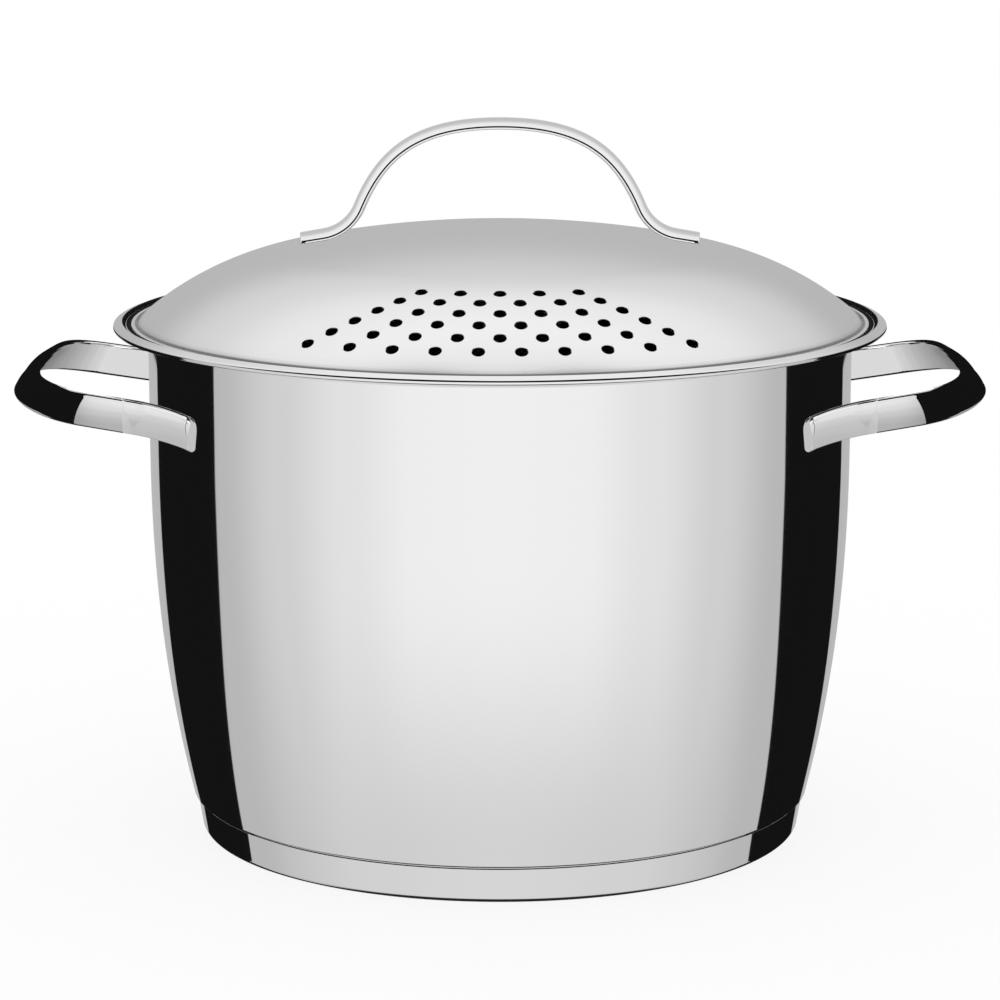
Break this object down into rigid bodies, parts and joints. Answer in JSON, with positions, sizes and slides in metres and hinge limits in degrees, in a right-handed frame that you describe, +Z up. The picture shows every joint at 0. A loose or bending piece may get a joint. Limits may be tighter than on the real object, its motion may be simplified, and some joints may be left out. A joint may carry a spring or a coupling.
{
  "type": "pasta pot with strainer insert",
  "caption": "Tall rounded steel pot with strap handles, a lift-out pierced strainer insert and a domed lid with drain holes and an arched handle.",
  "frame": {"origin": "centre of the base's underside, on the surface that the pot stands on", "axes": "+Z up along the pot's axis, +X to the right through the right handle, -Y to the front, where the drain holes are"},
  "size_m": [0.332, 0.265, 0.2463],
  "materials": {
    "polished_steel": "mirror-polished stainless steel",
    "handle_steel": "polished stainless steel bar",
    "satin_steel": "satin stainless steel",
    "insert_steel": "satin stainless steel",
    "core_aluminium": "mill-finish aluminium, enclosed"
  },
  "bodies": {
    "pot": {"pot_shell": "polished_steel", "pot_floor": "polished_steel", "base_core": "core_aluminium", "base_cap": "polished_steel", "left_handle": "handle_steel", "right_handle": "handle_steel"},
    "insert": {"insert_collar": "insert_steel", "insert_wall": "insert_steel", "insert_floor": "insert_steel", "insert_left_grip": "insert_steel", "insert_right_grip": "insert_steel"},
    "lid": {"lid_shell": "satin_steel", "lid_handle": "handle_steel"}
  },
  "joints": [
    {"name": "insert_lift", "type": "slide", "parent": "pot", "child": "insert", "axis": [0, 0, 1], "range_m": [0, 0.165]},
    {"name": "lid_lift", "type": "slide", "parent": "insert", "child": "lid", "axis": [0, 0, 1], "range_m": [0, 0.12]}
  ]
}
